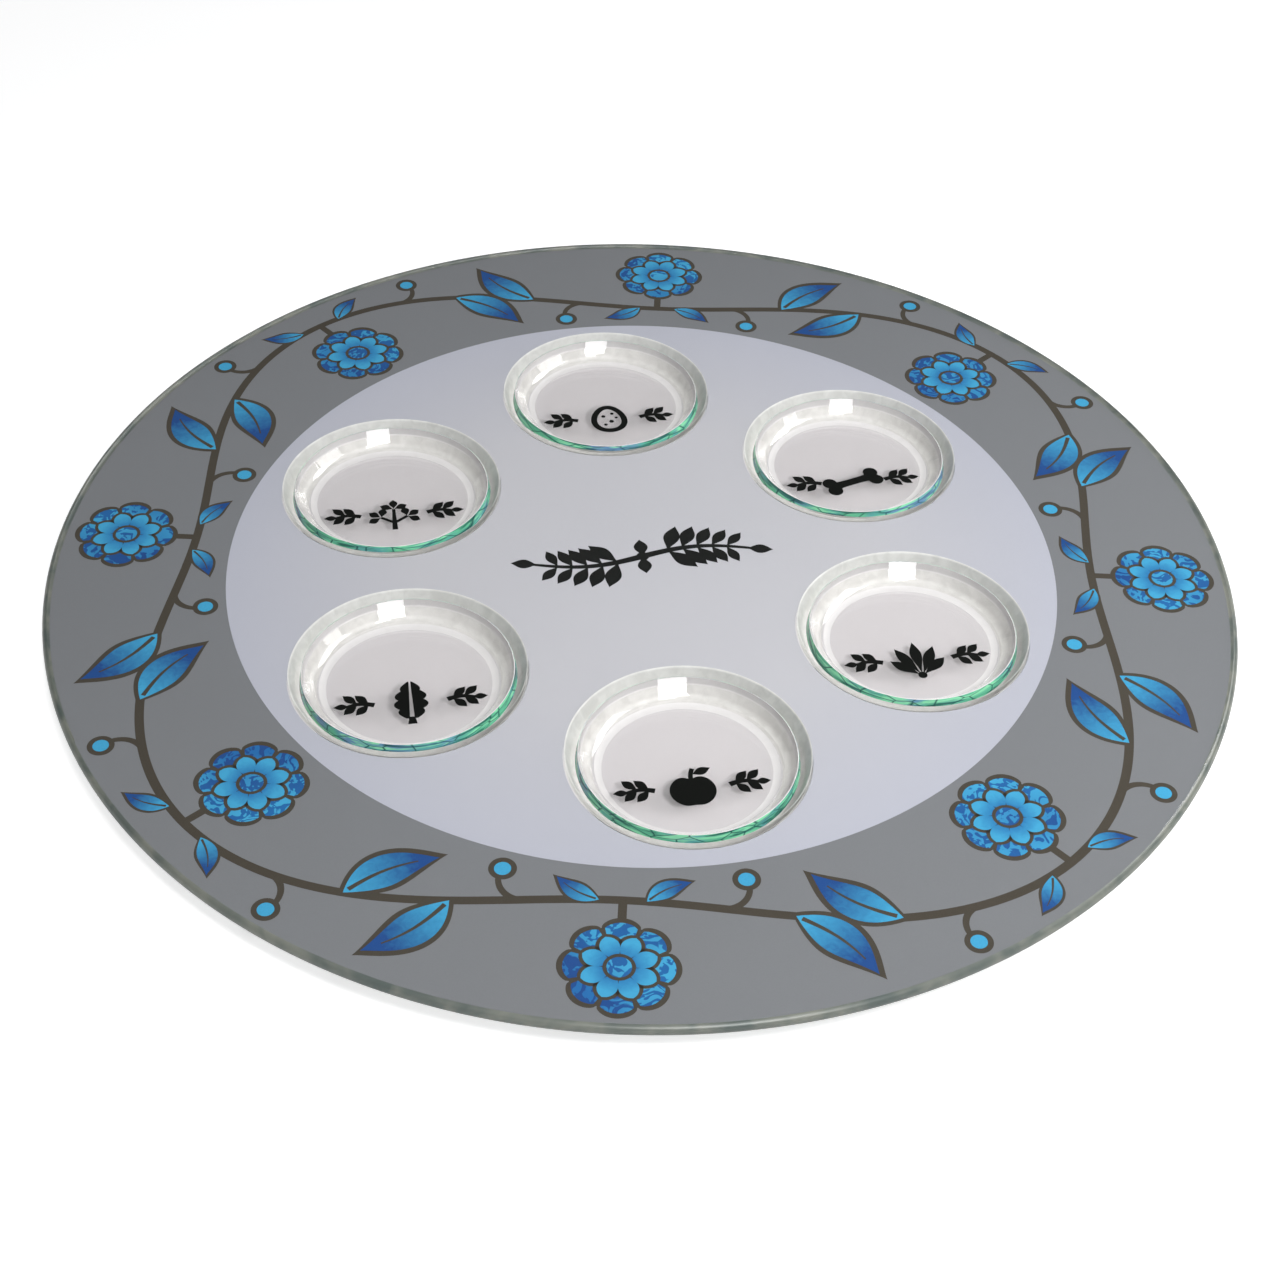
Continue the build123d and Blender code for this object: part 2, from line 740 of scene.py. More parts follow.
@dataclass(frozen=True)
class SatinGlass:
    """Glass that the mould or the grinder has left satin, with faint clouds in it; under a dish's bend it is
    a pale band that paints the bend's bright ring.
    """

    name: str
    colour: Colour = (0.80, 0.80, 0.765, 1.0)
    cloud: Colour = (0.70, 0.70, 0.665, 1.0)
    cloud_scale: float = 260.0
    roughness: float = 0.45
    clearness: float = 0.12
    passing: Colour = (0.97, 0.97, 0.965, 1.0)

    def material(self) -> Material:
        """Make the satin, which lets the lamps' light through.

        Returns:
            The material.
        """
        nodes = Nodes.of_material(self.name)
        clouds = nodes.noise(self.cloud_scale, 2.0, 0.6)
        tone = nodes.ramp(clouds, (0.35, self.cloud), (0.65, self.colour))
        body = nodes.add("BsdfPrincipled", Base_Color=tone, Roughness=self.roughness, IOR=GLASS_IOR,
                         Transmission_Weight=self.clearness)
        return nodes.let_light_through(body, self.passing, GLASS_RAYS)


@dataclass(frozen=True)
class CutEdgeWithPaintedGlow:
    """The ground, slightly chipped edge of a cut glass disc in the green of deep glass, painted brighter than
    it is lit, with painted glow, painted shade and painted reflections in it.
    """

    name: str
    dark: Colour = linear((30, 84, 82))
    blue: Colour = linear((112, 156, 196))
    teal: Colour = linear((98, 178, 174))
    green: Colour = linear((104, 200, 158))
    # the bright colour is painted glow of light running through the glass edge
    bright: Colour = linear((150, 236, 188))
    darkest: Colour = (0.8, 0.8, 0.8, 1.0)
    passing: Colour = (0.97, 0.98, 0.975, 1.0)
    patch_scale: float = 46.0
    streak_scale: float = 70.0
    streak_along: Sequence[float] = (1.0, 1.0, 11.0)
    crack_scale: float = 110.0
    crack_along: Sequence[float] = (1.0, 1.0, 3.0)
    crack_reach: float = 0.05
    chip_scale: float = 900.0
    chip_depth: float = 0.2 * MM
    chip_strength: float = 0.25
    roughness: float = 0.2

    def material(self) -> Material:
        """Make the edge: the green of deep glass with painted reflections in its teal and blue patches,
        streaks along it of painted glow and painted shade, and thin dark cracks.

        Returns:
            The material.
        """
        nodes = Nodes.of_material(self.name)
        greens = ((0.52, self.green), (0.60, self.green))
        tones = ((0.36, self.blue), (0.43, self.teal), *greens, (0.68, self.teal))
        patches = nodes.ramp(nodes.noise(self.patch_scale, 2.0, 0.5), *tones)
        streaks = nodes.noise(self.streak_scale, 3.0, 0.7, self.streak_along)
        # bright streaks are painted glow and dark streaks painted shade, of light running through the glass
        light = nodes.mask(streaks, 0.52, 0.60)
        deep = nodes.ramp(streaks, (0.38, self.darkest), (0.46, BLACK))
        streaked = nodes.mix(deep, nodes.mix(light, patches, self.bright), self.dark)
        cracks = nodes.add("TexVoronoi", feature="DISTANCE_TO_EDGE", Scale=self.crack_scale,
                           Vector=nodes.place(self.crack_along))
        line = nodes.mask(cracks.outputs["Distance"], 0.0, self.crack_reach)
        chips = nodes.bump(nodes.noise(self.chip_scale, 3.0), self.chip_strength, self.chip_depth)
        body = nodes.add("BsdfPrincipled", Base_Color=nodes.mix(line, self.dark, streaked),
                         Roughness=self.roughness, IOR=GLASS_IOR, Normal=chips)
        return nodes.let_light_through(body, self.passing, GLASS_RAYS)


@dataclass(frozen=True)
class PrintInk:
    """One flat ink with the fine grain of a print, which may change slowly to another one at its rim."""

    name: str
    ink: Ink
    grain: float = 0.03
    grain_scale: float = 2600.0
    cloud_scale: float = 9.0
    roughness: float = 0.55
    rim_ink: Ink | None = None
    rim_radius: float = 140 * MM
    rim_start: float = 0.55

    def material(self) -> Material:
        """Make the ink: a fine grain and faint clouds in its colour, and a slow change to the rim's ink.

        Returns:
            The material.
        """
        nodes = Nodes.of_material(self.name)
        clouds = nodes.calculate("MULTIPLY", nodes.noise(self.cloud_scale), 0.5)
        both = nodes.calculate("MULTIPLY_ADD", nodes.noise(self.grain_scale), 0.5, clouds)
        tones = []
        for ink in (self.ink, self.rim_ink):
            if ink is not None:
                low = shaded(ink.linear, 1 - self.grain)
                high = shaded(ink.linear, 1 + self.grain)
                tones.append(nodes.ramp(both, (0.3, low), (0.7, high)))
        if self.rim_ink is None:
            return nodes.ink(tones[0], self.roughness)
        share = nodes.mask(nodes.distance(self.rim_radius), self.rim_start, 1.0)
        return nodes.ink(nodes.mix(share, *tones), self.roughness)


@dataclass(frozen=True)
class BrocadeInk:
    """Blues in a swirling figure, like woven brocade, over a slow change from deep to light."""

    name: str
    ground: Ink
    figure: Ink
    shade: Ink
    figure_scale: float = 150.0
    swirl: float = 3.2
    patch_scale: float = 24.0
    roughness: float = 0.5

    def material(self) -> Material:
        """Make the ink: a swirled figure on a ground that darkens in patches.

        Returns:
            The material.
        """
        nodes = Nodes.of_material(self.name)
        patch = nodes.noise(self.patch_scale, 1.0)
        ground = nodes.ramp(patch, (0.40, self.shade.linear), (0.60, self.ground.linear))
        figure = nodes.ramp(patch, (0.35, self.ground.linear), (0.55, self.figure.linear))
        share = nodes.mask(nodes.noise(self.figure_scale, 1.0, self.swirl), 0.48, 0.51)
        return nodes.ink(nodes.mix(share, ground, figure), self.roughness)


@dataclass(frozen=True)
class GradientInk:
    """Ink that goes from one blue to another along a leaf, with a soft figure in it."""

    name: str
    start: Ink
    end: Ink
    ripple_scale: float = 420.0
    ripple: float = 0.35
    roughness: float = 0.5

    def material(self) -> Material:
        """Make the ink, which follows the leaf's own shade attribute.

        Returns:
            The material.
        """
        nodes = Nodes.of_material(self.name)
        along = nodes.add("Attribute", attribute_name="shade").outputs["Fac"]
        ripples = nodes.noise(self.ripple_scale, 2.0, 0.8)
        both = nodes.calculate("MULTIPLY_ADD", ripples, self.ripple, along)
        tone = nodes.ramp(both, (0.25, self.start.linear), (0.95, self.end.linear))
        return nodes.ink(tone, self.roughness)


def dress(piece: Piece, materials: Sequence[Material]) -> None:
    """Give an object its materials, the first one on every face that has no other.

    Args:
        piece: The object.
        materials: The materials, in the order of the faces' material numbers.
    """
    piece.data.materials.clear()
    for material in materials:
        piece.data.materials.append(material)


@dataclass
class DishForm:
    """The section of a slumped dish: even glass, a bent wall and a cut edge ground almost upright."""

    base: float
    glass: float = 3.2 * MM
    rim_radius: float = 34.0 * MM
    depth: float = 5.9 * MM
    wall_angle: float = 50.0
    floor_fillet: float = 5.0 * MM
    edge_drop: float = 2.5 * MM
    seam: float = 0.3 * MM
    seat_gap: float = 0.05 * MM
    skin: float = 0.05 * MM
    skin_gap: float = 0.01 * MM
    # share of the bend whose underside is pale satin: a painted bright ring
    painted_ring_share: float = 0.46
    bend_steps: int = 14

    @property
    def floor_top(self) -> float:
        """The height of the floor's upper face."""
        return self.base + self.glass

    @property
    def up(self) -> Vector:
        """The direction up the wall, as radius and height."""
        return Vector(polar(1.0, math.radians(self.wall_angle)))

    @property
    def rim_inner(self) -> Vector:
        """The inner corner of the cut edge, before its seam."""
        return Vector((self.rim_radius, self.floor_top + self.depth))

    @property
    def rim_outer(self) -> Vector:
        """The outer corner of the cut edge, which is ground lower than a square cut."""
        out = Vector((self.up.y, -self.up.x))
        return self.rim_inner + out * self.glass - self.up * self.edge_drop

    @property
    def down_edge(self) -> Vector:
        """The direction down the cut edge."""
        return (self.rim_outer - self.rim_inner).normalized()

    @property
    def off_edge(self) -> Vector:
        """The direction straight out of the cut edge."""
        return Vector((-self.down_edge.y, self.down_edge.x))

    @property
    def edge_ends(self) -> tuple[Vector, Vector]:
        """The upper and the lower end of the cut edge, between its seams."""
        short = self.down_edge * self.seam
        return self.rim_inner + short, self.rim_outer - short

    @property
    def bend_centre(self) -> Vector:
        """The centre of both bends between floor and wall."""
        slope = math.radians(self.wall_angle)
        radius = self.rim_radius - self.depth / math.tan(slope) - self.floor_fillet * math.tan(slope / 2)
        return Vector((radius, self.floor_top + self.floor_fillet))

    def is_ground_edge_or_painted_ring(self, radius: float, height: float) -> bool:
        """Whether a point lies on the ground edge, which is satin, or on the pale satin band under the bend
        that paints the bend's bright ring.

        Args:
            radius: The point's distance from the dish's axis.
            height: Its height.

        Returns:
            True where the surface is satin.
        """
        point = Vector((radius, height))
        on_edge = (point - self.rim_inner).dot(self.off_edge) > -self.seam / 2
        arm = point - self.bend_centre
        below = arm.x > 0 and arm.length > self.floor_fillet + self.glass / 2
        angle = math.degrees(math.atan2(arm.x, -arm.y))
        # the pale band under the bend is a painted bright ring
        return on_edge or (below and angle < self.painted_ring_share * self.wall_angle)

    def section(self) -> Profile:
        """The half section, from the middle of the floor over the rim to the middle of the base.

        Returns:
            The profile.
        """
        bend = self.bend_centre
        wall = self.wall_angle - 90
        seat = self.base + self.seat_gap
        outer_fillet = self.floor_fillet + self.glass - self.seat_gap
        short = self.up * self.seam
        profile = Profile().through((0, self.floor_top), (bend.x / 2, self.floor_top))
        profile.arc(bend, self.floor_fillet, -90, wall, self.bend_steps)
        profile.through(self.rim_inner - short, *self.edge_ends, self.rim_outer - short)
        profile.arc(bend, outer_fillet, wall, -90, self.bend_steps)
        return profile.through((bend.x / 2, seat), (0, seat))

    def edge_skin(self) -> Profile:
        """The closed section of a thin skin over the cut edge, which carries the edge's colour and its
        painted glow.

        Returns:
            The profile.
        """
        top, foot = [end + self.off_edge * self.skin_gap for end in self.edge_ends]
        thick = self.off_edge * self.skin
        return Profile().through(top, top + thick, foot + thick, foot, top)


@dataclass
class WellPlan:
    """Where the wells are and how they are formed, in metres."""

    pitch_radius: float
    dish_corner: Vector
    floor_top: float
    plate_top: float
    plate_under: float
    side_clearance: float = 0.9 * MM
    wall_angle: float = 65.0
    wall: float = 1.8 * MM
    shoulder: float = 0.8 * MM
    floor_fillet: float = 3.0 * MM
    root_fillet: float = 0.5 * MM
    print_clearance: float = 0.3 * MM

    @classmethod
    def from_frame(cls, form: DishForm) -> "WellPlan":
        """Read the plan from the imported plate, its print and its dishes.

        Args:
            form: The dishes' form, whose outer corner the wells clear.

        Returns:
            The plan.
        """
        dish_low, dish_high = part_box(Food.EGG.dish)
        return cls(
            pitch_radius=((dish_low + dish_high) / 2).xy.length,
            dish_corner=form.rim_outer,
            floor_top=dish_low.z,
            plate_top=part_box("glass_plate")[1].z,
            plate_under=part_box("centre_print")[1].z,
        )

    @property
    def centres(self) -> list[Point]:
        """The wells' centres, the far one first, clockwise seen from above."""
        count = len(Food)
        return [polar(self.pitch_radius, QUARTER_TURN - FULL_TURN * k / count) for k in range(count)]

    def inner_radius(self, height: float) -> float:
        """The inner wall's radius at a height, before its fillets."""
        run = 1 / math.tan(math.radians(self.wall_angle))
        return self.dish_corner.x + self.side_clearance + (height - self.dish_corner.y) * run

    def outer_radius(self, height: float) -> float:
        """The outer wall's radius at a height, before its fillets."""
        return self.inner_radius(height) + self.wall / math.sin(math.radians(self.wall_angle))

    def reach(self, fillet: float) -> float:
        """How far a fillet between wall and level glass reaches from their corner."""
        return fillet * math.tan(math.radians(self.wall_angle) / 2)

    @property
    def root_radius(self) -> float:
        """The radius at which a well leaves the flat underside."""
        return self.outer_radius(self.plate_under) + self.reach(self.root_fillet)

    @property
    def print_opening(self) -> float:
        """The radius of the openings in the pale print."""
        return self.root_radius + self.print_clearance


@dataclass
class GlassPlate:
    """The plate's glass: a level disc with a full-round edge and hollow wells below it."""

    wells: WellPlan
    radius: float
    ground_reach: float = 0.5 * MM
    rim_steps: int = 320
    well_steps: int = 112
    edge_steps: int = 20
    bend_steps: int = 14
    root_steps: int = 6

    def well_inside(self) -> Profile:
        """A well's inner skin, from the shoulder down to the middle of the floor.

        Returns:
            The profile.
        """
        plan = self.wells
        wall = plan.wall_angle
        shoulder_at = plan.inner_radius(plan.plate_top) + plan.reach(plan.shoulder)
        shoulder = (shoulder_at, plan.plate_top - plan.shoulder)
        bend_at = plan.inner_radius(plan.floor_top) - plan.reach(plan.floor_fillet)
        bend = (bend_at, plan.floor_top + plan.floor_fillet)
        profile = Profile().arc(shoulder, plan.shoulder, 90, 90 + wall, self.bend_steps)
        profile.arc(bend, plan.floor_fillet, wall - 90, -90, self.bend_steps)
        return profile.through((bend_at / 2, plan.floor_top), (0, plan.floor_top))

    def well_outside(self) -> Profile:
        """A well's outer skin, from the flat underside down to the middle of the foot.

        Returns:
            The profile.
        """
        plan = self.wells
        wall = plan.wall_angle
        foot_fillet = plan.floor_fillet + plan.wall
        foot_at = plan.outer_radius(0) - plan.reach(foot_fillet)
        root = (plan.root_radius, plan.plate_under - plan.root_fillet)
        profile = Profile().arc(root, plan.root_fillet, 90, 90 + wall, self.root_steps)
        profile.arc((foot_at, foot_fillet), foot_fillet, wall - 90, -90, self.bend_steps)
        return profile.through((foot_at / 2, 0), (0, 0))

    @property
    def flat_radius(self) -> float:
        """The radius at which the level glass ends and its rounded edge starts."""
        return self.radius - (self.wells.plate_top - self.wells.plate_under) / 2

    def rim(self) -> Profile:
        """The full-round edge with the ground strip of the underside, up to the flat top.

        Returns:
            The profile.
        """
        half = self.radius - self.flat_radius
        strip = Profile().through((self.flat_radius - self.ground_reach, self.wells.plate_under))
        return strip.arc((self.flat_radius, self.wells.plate_under + half), half, -90, 90, self.edge_steps)

    def fill_level(self, piece: Piece, height: float) -> None:
        """Fill the level glass between the rim and the wells.

        Args:
            piece: The rim and the wells' skins as one object.
            height: The height of the level to fill.
        """

        def open_there(edge: bmesh.types.BMEdge) -> bool:
            """Whether an edge lies open at that height."""
            return edge.is_boundary and all(abs(end.co.z - height) < HAIR for end in edge.verts)

        with editing(piece):
            select_edges(piece, open_there)
            bpy.ops.mesh.fill(use_beauty=True)

    def on_wall(self, point: Vector) -> bool:
        """Whether a point of the glass lies on a well's side wall, inside or outside.

        Args:
            point: The point.

        Returns:
            True on a wall, and False on a floor or a level face.
        """
        plan = self.wells
        near = min((point.xy - Vector(centre)).length for centre in plan.centres)
        level = min(abs(point.z - height) for height in (0, plan.floor_top, plan.plate_under, plan.plate_top))
        return near < plan.root_radius and level > HAIR

    def is_ground(self, point: Vector) -> bool:
        """Whether a point of the glass lies on its rounded edge or on the ground strip of the underside."""
        ground = point.xy.length > self.flat_radius - self.ground_reach
        return ground and point.z < self.wells.plate_top - HAIR

    def build(self) -> Piece:
        """Model the plate's glass.

        Returns:
            The finished mesh object.
        """
        places = [turned(0, *centre) for centre in self.wells.centres]
        skins = copies_at(self.well_inside().spin("well_inside", self.well_steps), places)
        skins += copies_at(self.well_outside().spin("well_outside", self.well_steps), places)
        piece = join_pieces([self.rim().spin("rim", self.rim_steps), *skins], "plate_glass")
        self.fill_level(piece, self.wells.plate_top)
        self.fill_level(piece, self.wells.plate_under)
        close_and_face_out(piece)
        smooth(piece)
        apply_modifier(piece, "WEIGHTED_NORMAL", weight=100, keep_sharp=False)
        finishes = (
            ClearGlass("polished plate glass"),
            SatinGlass("satin well wall"),
            SatinGlass("ground plate edge", linear((128, 131, 122)), linear((88, 98, 94)), 90.0, 0.3),
        )
        dress(piece, [finish.material() for finish in finishes])
        for face in piece.data.polygons:
            if self.on_wall(face.center):
                face.material_index = 1
            elif self.is_ground(face.center):
                face.material_index = 2
        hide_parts("glass_plate")
        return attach(piece, PLATE_BODY)


@dataclass
class PrintLayer:
    """The two grounds of the print below the plate: a grey border and a pale centre with openings."""

    wells: WellPlan
    ground_top: float
    ground_bottom: float
    border_inner: float
    border_outer: float
    steps: int = 320
    opening_steps: int = 112

    @classmethod
    def from_frame(cls, wells: WellPlan) -> "PrintLayer":
        """Read the print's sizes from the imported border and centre, with its top a hair up in the glass."""
        low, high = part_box("border_print")
        return cls(wells, high.z + PRINT_BOND, low.z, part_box("centre_print")[1].x, high.x)

    def level(self, loops: Sequence[tuple[float, Point, int]], name: str) -> Piece:
        """Fill the level between closed loops and give it the print's thickness.

        Args:
            loops: Each loop's radius, centre and number of points; the first is the outermost.
            name: The piece's name.

        Returns:
            The finished mesh object.
        """
        deselect_all()
        bpy.ops.mesh.primitive_circle_add(vertices=loops[0][2], radius=loops[0][0])
        piece = bpy.context.object
        with editing(piece):
            for radius, centre, points in loops[1:]:
                bpy.ops.mesh.primitive_circle_add(vertices=points, radius=radius, location=(*centre, 0))
            bpy.ops.mesh.select_all(action="SELECT")
            bpy.ops.mesh.fill(use_beauty=True)
        return Cutter.print_on([piece], name, self.ground_top, self.ground_top - self.ground_bottom)

    def build(self) -> list[Piece]:
        """Model and dress both grounds.

        Returns:
            The border and the centre.
        """
        outer = (self.border_outer, (0.0, 0.0), self.steps)
        inner = (self.border_inner, (0.0, 0.0), self.steps)
        openings = [(self.wells.print_opening, centre, self.opening_steps) for centre in self.wells.centres]
        border = self.level([outer, inner], "border_ground")
        centre = self.level([inner, *openings], "centre_ground")
        grey = PrintInk("border_print ink", Ink.BORDER)
        pale = PrintInk("centre_print ink", Ink.PALE, rim_ink=Ink.LAVENDER, rim_radius=self.border_inner)
        for piece, node, finish in ((border, "border_print", grey), (centre, "centre_print", pale)):
            dress(piece, [finish.material()])
            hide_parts(node)
            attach(piece, PLATE_BODY)
        return [border, centre]


@dataclass
class Dish:
    """One slumped glass dish with a skin on its ground edge that carries the edge's painted glow."""

    food: Food
    form: DishForm
    steps: int = 144
    smooth_angle: float = 25.0

    def build(self, centre: Point, finishes: Sequence[Material]) -> Piece:
        """Model and dress the dish.

        Args:
            centre: The middle of its well.
            finishes: The finishes of its polished faces, of its edge and the painted bright ring under its
                bend within the glass, and of the edge's skin.

        Returns:
            The finished mesh object.
        """
        form = self.form
        body = form.section().spin("dish_body", self.steps)
        skin = form.edge_skin().spin("dish_skin", self.steps)
        for piece in (body, skin):
            dress(piece, finishes)
        for face in body.data.polygons:
            # faces of the ground edge, and of the painted bright ring under the bend, get the pale satin
            face.material_index = int(form.is_ground_edge_or_painted_ring(face.center.xy.length, face.center.z))
        for face in skin.data.polygons:
            face.material_index = 2
        piece = join_pieces([body, skin], f"{self.food.value}_glass")
        make_active(piece)
        bpy.ops.object.shade_smooth_by_angle(angle=math.radians(self.smooth_angle))
        placed(piece, turned(0, *centre))
        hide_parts(self.food.dish)
        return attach(piece, self.food.dish)


@dataclass
class BorderOrnament:
    """A wavy stem round the border with blue rosettes, leaves and berries on it."""

    ground: float
    mid_radius: float
    waves: int = 4
    swing: float = 16 * MM
    turn: float = math.radians(12)
    stem_half: float = 1.45 * MM
    stalk_half: float = 1.3 * MM
    petal_count: int = 8
    petal_dip: float = 0.17
    rosette_radius: float = 17.6 * MM
    rosette_offset: float = 8.2 * MM
    inner_ring: float = 11.4 * MM
    inner_foot: float = 2.4 * MM
    inner_half: float = 2.9 * MM
    eye_radius: float = 3.6 * MM
    eye_ring: float = 4.7 * MM
    leaf_length: float = 30 * MM
    leaf_width: float = 12 * MM
    leaf_bow: float = 2.4 * MM
    leaf_apart: float = 0.085
    leaf_lean: float = math.radians(38)
    small_leaf: float = 0.50
    small_leaf_apart: float = 0.045
    small_leaf_lean: float = math.radians(34)
    tendril: float = 15 * MM
    tendril_sweep: float = 1.9
    tendril_apart: float = 0.19
    tendril_lean: float = math.radians(14)
    berry_radius: float = 2.5 * MM
    outline: float = 1.7 * MM
    fine_line: float = 1.1 * MM

    def stem_point(self, angle: float) -> Point:
        """The stem's middle at an angle round the plate."""
        return polar(self.mid_radius + self.swing * math.sin(self.waves * (angle - self.turn)), angle)

    def stem_line(self, t: float) -> Point:
        """The stem's middle at a share of the way round the plate."""
        return self.stem_point(FULL_TURN * t)

    def off_stem(self, angle: float, lean: float, side: int = 1) -> Matrix:
        """A place on the stem that leans off it.

        Args:
            angle: The angle round the plate.
            lean: How far the place is turned from the stem's heading.
            side: 1 for the stem's own heading, or -1 for the way back.

        Returns:
            The place.
        """
        ahead = Vector(self.stem_point(angle + NUDGE)) - Vector(self.stem_point(angle - NUDGE))
        heading = math.atan2(ahead.y, ahead.x) + (0 if side > 0 else math.pi)
        return turned(heading + lean, *self.stem_point(angle))

    def stations(self, offset: float) -> list[tuple[float, int]]:
        """Angles half a wave apart round the plate.

        Args:
            offset: 0 where the stem crosses its middle, or 0.5 at its crests.

        Returns:
            Each angle, with 1 where the crest there or ahead is an outer one and -1 where it is an inner one.
        """
        step = math.pi / self.waves
        return [(self.turn + step * (k + offset), 1 - 2 * (k % 2)) for k in range(2 * self.waves)]

    @property
    def crests(self) -> list[tuple[float, int]]:
        """Each crest's angle, and 1 where it is an outer crest or -1 where it is an inner one."""
        return self.stations(0.5)

    @property
    def petal_turns(self) -> list[Matrix]:
        """The turns of a rosette's inner petals, which lie between the outer ones."""
        return [turned(FULL_TURN * (k + 0.5) / self.petal_count) for k in range(self.petal_count)]

    def leaf(self, grow: float) -> Piece:
        """A curved leaf along +X, widened all round by a margin.

        Args:
            grow: The margin's width.

        Returns:
            The flat object.
        """
        length = self.leaf_length + 2.6 * grow

        def middle(t: float) -> Point:
            """The leaf's middle at a share of the way along."""
            return length * t - grow, self.leaf_bow * math.sin(math.pi * t)

        return Cutter.strip(middle, swelling(self.leaf_width / 2 + grow, 0.86, 1.1), 28)

    def inner_petals(self, grow: float) -> Piece:
        """The ring of small petals in the middle of a rosette, each widened all round by a margin.

        Args:
            grow: The margin's width.

        Returns:
            The flat object.
        """
        line = straight((self.inner_foot - grow, 0.0), (self.inner_ring + grow, 0.0))
        petal = Cutter.strip(line, swelling(self.inner_half + grow, 1.35, 0.62), 16)
        return join_pieces(copies_at(petal, self.petal_turns), "inner_petals")

    def leaf_places(self) -> list[Matrix]:
        """Two big leaves at each crossing, on both sides of the stem, and two small ones at each crest.

        Returns:
            The places.
        """
        places = []
        for angle, way in self.stations(0.0):
            for side in (1, -1):
                places.append(self.off_stem(angle - side * self.leaf_apart, -way * self.leaf_lean, side))
        for angle, way in self.crests:
            for side in (1, -1):
                lean = -way * side * self.small_leaf_lean
                place = self.off_stem(angle + side * self.small_leaf_apart, lean, side)
                places.append(place @ Matrix.Scale(self.small_leaf, 4))
        return places

    def rosette_places(self) -> list[Matrix]:
        """The middle of every rosette, turned to face along its stalk.

        Returns:
            The places.
        """
        places = []
        for angle, way in self.crests:
            places.append(turned(angle, *polar(self.mid_radius - way * self.rosette_offset, angle)))
        return places

    def petals(self, radius: float) -> Piece:
        """The flat shape of a rosette's outer petals.

        Args:
            radius: From the middle to the petals' ends.

        Returns:
            The flat object.
        """

        def edge(t: float) -> Point:
            """The point at a share of the way round.

            Args:
                t: The share, from 0 to 1.

            Returns:
                The point.
            """
            angle = FULL_TURN * t
            bulge = abs(math.cos(self.petal_count / 2 * angle)) ** 0.55
            return polar(radius * (1 - self.petal_dip + self.petal_dip * bulge), angle)

        return Cutter.shape(edge, 192)

    def curl(self, bend: int) -> Outline:
        """The line of a berry's tendril, from the origin along +X and bending to one side.

        Args:
            bend: 1 to bend to the left, or -1 to the right.

        Returns:
            The line, from 0 at its start to 1 at its end.
        """
        radius = self.tendril / self.tendril_sweep

        def line(t: float) -> Point:
            """The point at a share of the way along."""
            turn = self.tendril_sweep * t
            return radius * math.sin(turn), bend * radius * (1 - math.cos(turn))

        return line

    def tendril_places(self, bend: int) -> list[Matrix]:
        """Where the tendrils that bend to one side leave the stem, past one side of every crest.

        Args:
            bend: 1 to bend to the left, or -1 to the right.

        Returns:
            The places.
        """
        places = []
        for angle, way in self.crests:
            side = -way * bend
            places.append(self.off_stem(angle + side * self.tendril_apart, bend * self.tendril_lean, side))
        return places

    def berries(self, radius: float) -> list[Piece]:
        """A berry at the end of every tendril.

        Args:
            radius: A berry's radius.

        Returns:
            The flat shapes.
        """
        made = []
        for bend in (1, -1):
            made += copies_at(Cutter.disc(radius, *self.curl(bend)(1.0)), self.tendril_places(bend))
        return made

    def lines(self) -> list[Piece]:
        """The stem, the stalks, the tendrils and the dark margins of everything on them.

        Returns:
            The flat shapes.
        """
        pieces = [Cutter.strip(self.stem_line, tapered(self.stem_half, self.stem_half), 480)]
        for angle, way in self.crests:
            start = self.mid_radius + way * self.swing
            end = self.mid_radius - way * (self.rosette_offset - self.rosette_radius * 0.8)
            stalk = straight(polar(start, angle), polar(end, angle))
            pieces.append(Cutter.strip(stalk, tapered(self.stalk_half, self.stalk_half), 6))
        pieces += copies_at(self.leaf(self.outline), self.leaf_places())
        pieces += copies_at(self.petals(self.rosette_radius), self.rosette_places())
        for bend in (1, -1):
            tendril = Cutter.strip(self.curl(bend), tapered(1.15 * MM, 0.8 * MM), 16)
            pieces += copies_at(tendril, self.tendril_places(bend))
        return pieces + self.berries(self.berry_radius + self.outline)

    def fine_lines(self) -> list[Piece]:
        """The margins of the inner petals, the creases of the outer ones and the leaves' midribs.

        Returns:
            The flat shapes.
        """

        def rib(t: float) -> Point:
            """The midrib's line, from near the stalk to short of the tip."""
            share = 0.06 + 0.74 * t
            return share * self.leaf_length, self.leaf_bow * math.sin(math.pi * share)

        rosettes = self.rosette_places()
        pieces = copies_at(self.inner_petals(self.fine_line), rosettes)
        line = straight((self.inner_ring, 0.0), (self.rosette_radius * 0.84, 0.0))
        crease = Cutter.strip(line, tapered(0.5 * MM, 1.0 * MM), 4)
        pieces += copies_at(join_pieces(copies_at(crease, self.petal_turns), "creases"), rosettes)
        ribs = Cutter.strip(rib, tapered(0.75 * MM, 0.25 * MM), 14)
        return pieces + copies_at(ribs, self.leaf_places())

